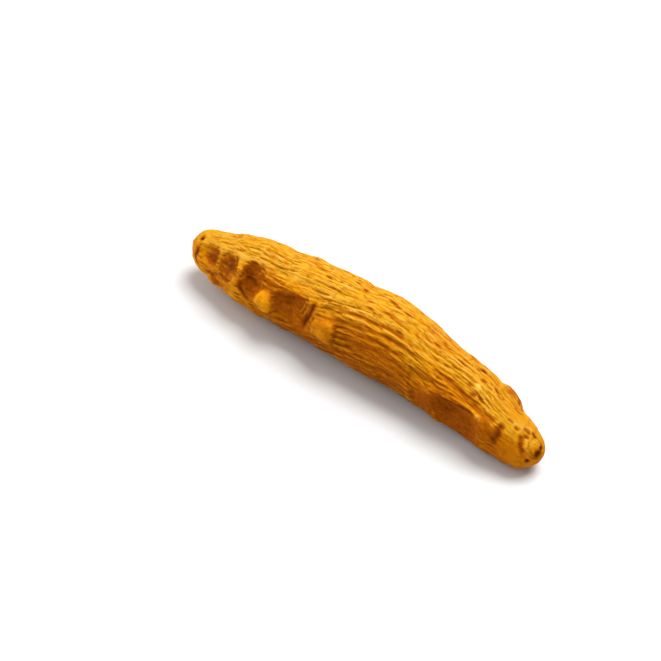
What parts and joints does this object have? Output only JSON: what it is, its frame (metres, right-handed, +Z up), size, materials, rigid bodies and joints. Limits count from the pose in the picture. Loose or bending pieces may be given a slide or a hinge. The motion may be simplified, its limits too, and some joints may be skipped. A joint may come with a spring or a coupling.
{
  "type": "turmeric root",
  "caption": "Fresh turmeric finger: a long, slightly bent rhizome with lengthwise wrinkles, leaf scar rings, bud stubs and rounded ends, lying on its side.",
  "frame": {"origin": "middle of the footprint, on the surface the root lies on", "axes": "+X along the root's length towards its growing tip, +Z up, and the root lies bent towards +Y"},
  "size_m": [0.116, 0.0244, 0.0209],
  "materials": {
    "root_skin": "matt, dry, golden orange skin"
  },
  "bodies": {
    "root": {"turmeric_root": "root_skin"}
  },
  "joints": []
}
